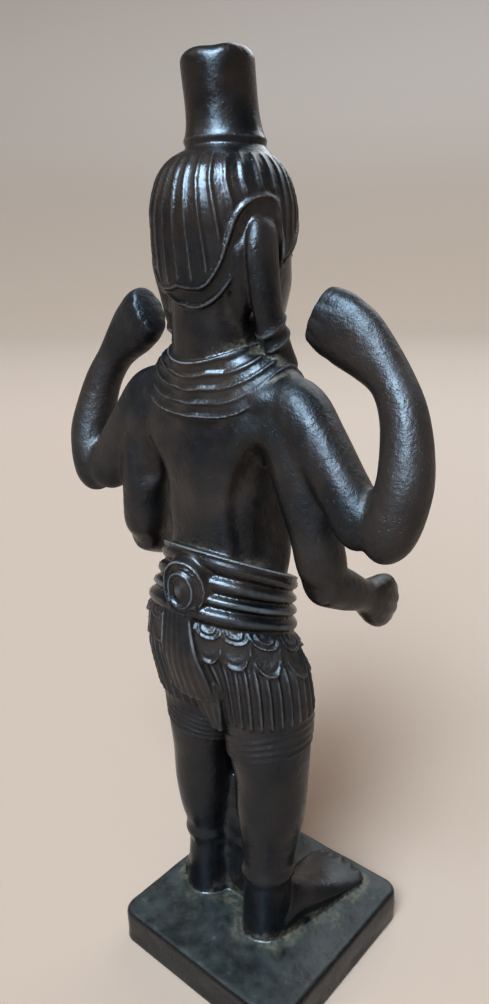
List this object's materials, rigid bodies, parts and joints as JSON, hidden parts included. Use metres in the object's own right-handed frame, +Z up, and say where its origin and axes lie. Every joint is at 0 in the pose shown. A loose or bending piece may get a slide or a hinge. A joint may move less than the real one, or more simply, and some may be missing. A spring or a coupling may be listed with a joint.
{
  "type": "vishnu statue",
  "caption": "Small cast bronze statue of a standing multi-armed god on a square plinth, with tall crown, ribbed hair, rolled belt, scalloped apron and pleated dhoti.",
  "frame": {"origin": "middle of the plinth's flat underside", "axes": "+Z up through the figure, -Y the way the figure faces, +X towards the figure's left hand"},
  "size_m": [0.0573, 0.0306, 0.12],
  "materials": {
    "bronze": "cast bronze with a near-black brown patina, semi-gloss, worn grey-brown along raised lines, ochre dirt in the hollows"
  },
  "bodies": {
    "root": {"vishnu_statue": "bronze"}
  },
  "joints": []
}
